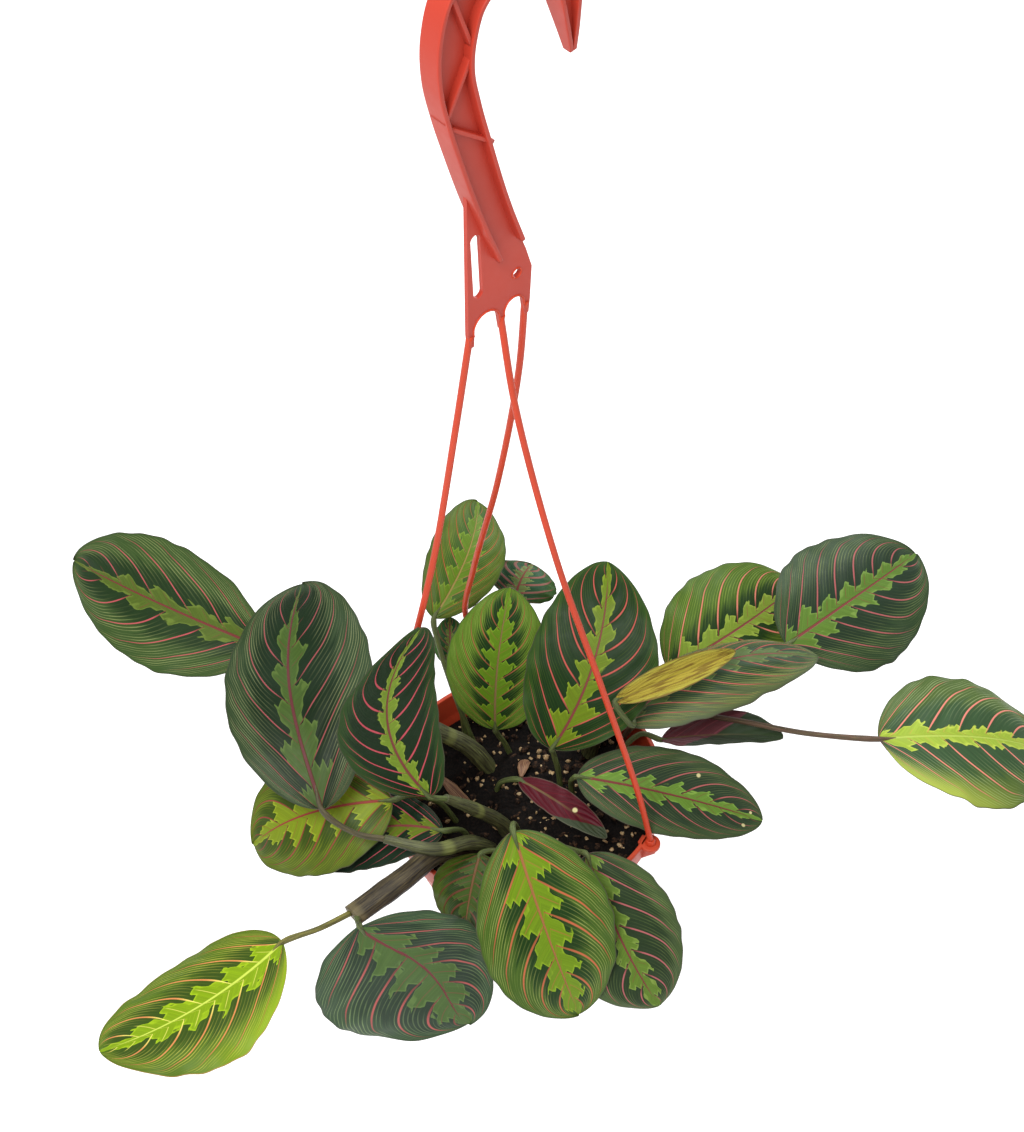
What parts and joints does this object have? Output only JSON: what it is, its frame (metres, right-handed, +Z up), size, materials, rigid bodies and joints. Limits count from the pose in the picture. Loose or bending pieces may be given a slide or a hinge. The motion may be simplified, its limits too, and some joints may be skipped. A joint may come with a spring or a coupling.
{
  "type": "hanging potted plant",
  "caption": "Prayer plant with red-veined, herringbone-patterned leaves in a round plastic pot that hangs from a moulded hook by thin strands.",
  "frame": {"origin": "where the inside of the hook bears on what it hangs from, above the pot's middle", "axes": "+Z up along the hanging line, +X to the plant's right and +Y to its back as seen from its front"},
  "size_m": [0.5001, 0.2823, 0.6031],
  "materials": {
    "terracotta_plastic": "satin",
    "potting_soil": "matte",
    "leaf_dark": "satin",
    "leaf_green": "satin",
    "leaf_lime": "satin",
    "leaf_yellow": "matte",
    "leaf_purple": "matte",
    "sheath_olive": "matte",
    "sheath_brown": "matte",
    "sheath_dry": "matte"
  },
  "bodies": {
    "root": {"pot": "terracotta_plastic", "soil": "potting_soil", "hanger": "terracotta_plastic", "stem_left_upper": "sheath_olive", "stem_left_middle": "sheath_olive", "stem_front_left": "sheath_brown", "stem_back_left": "sheath_olive", "stem_right": "sheath_olive", "stem_back_right": "sheath_olive", "dry_sheath_left": "sheath_dry", "dry_sheath_back": "sheath_dry", "leaf_far_left": "leaf_dark", "leaf_left_large": "leaf_dark", "leaf_centre_left": "leaf_dark", "leaf_back_left": "leaf_green", "leaf_back_small": "leaf_dark", "leaf_back": "leaf_dark", "leaf_centre": "leaf_green", "leaf_centre_right": "leaf_dark", "leaf_back_right": "leaf_green", "leaf_far_right": "leaf_dark", "leaf_right_folded": "leaf_dark", "leaf_yellow_rolled": "leaf_yellow", "leaf_right_front": "leaf_dark", "leaf_right_low": "leaf_purple", "leaf_out_right": "leaf_green", "leaf_out_left": "leaf_lime", "leaf_front_left": "leaf_dark", "leaf_front": "leaf_lime", "leaf_front_right": "leaf_dark", "leaf_front_low": "leaf_green", "leaf_left_lime": "leaf_lime", "leaf_left_low": "leaf_dark", "leaf_underside": "leaf_purple"}
  },
  "joints": []
}
